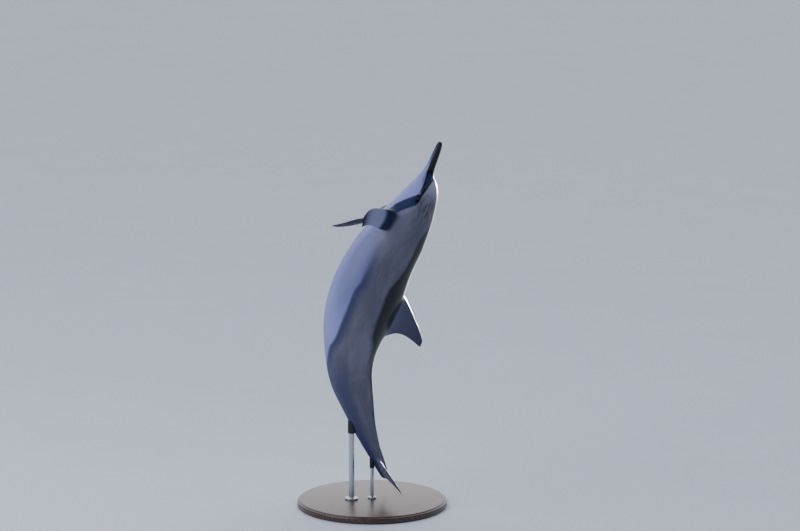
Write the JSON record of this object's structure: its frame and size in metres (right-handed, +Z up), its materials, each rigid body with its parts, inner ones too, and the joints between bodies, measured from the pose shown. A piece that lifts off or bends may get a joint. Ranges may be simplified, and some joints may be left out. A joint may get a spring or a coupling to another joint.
{
  "type": "spinner dolphin model",
  "caption": "Life-size still model of a slender long-beaked dolphin in mid-leap, beak up and back arched, held by steel rods on a round display base.",
  "frame": {"origin": "centre of the underside of the stand's round base", "axes": "+Z up; the animal's plane of symmetry is XZ, with its back towards +X, its belly towards -X, its left side towards -Y and its beak up"},
  "size_m": [0.76, 0.76, 1.8706],
  "materials": {
    "dark_skin": "wet-looking near-black and slate skin, smooth",
    "flank_skin": "wet-looking purple-grey skin with a dark cape and a pale belly, smooth",
    "pale_skin": "wet-looking pale lavender-grey skin, smooth",
    "eye": "polished near-black",
    "stand_wood": "dark stained walnut, satin varnish",
    "stand_steel": "brushed stainless steel"
  },
  "bodies": {
    "root": {"head": "dark_skin", "lower_jaw": "pale_skin", "neck": "flank_skin", "chest": "flank_skin", "trunk_front": "flank_skin", "trunk_middle": "flank_skin", "loin": "flank_skin", "tail_stock_front": "flank_skin", "tail_stock_middle": "flank_skin", "tail_stock_rear": "flank_skin", "dorsal_fin": "dark_skin", "flipper_left": "dark_skin", "flipper_right": "dark_skin", "fluke_left": "dark_skin", "fluke_right": "dark_skin", "eye_left": "eye", "eye_right": "eye", "stand_base": "stand_wood", "stand_rod_front": "stand_steel", "stand_rod_rear": "stand_steel"}
  },
  "joints": []
}
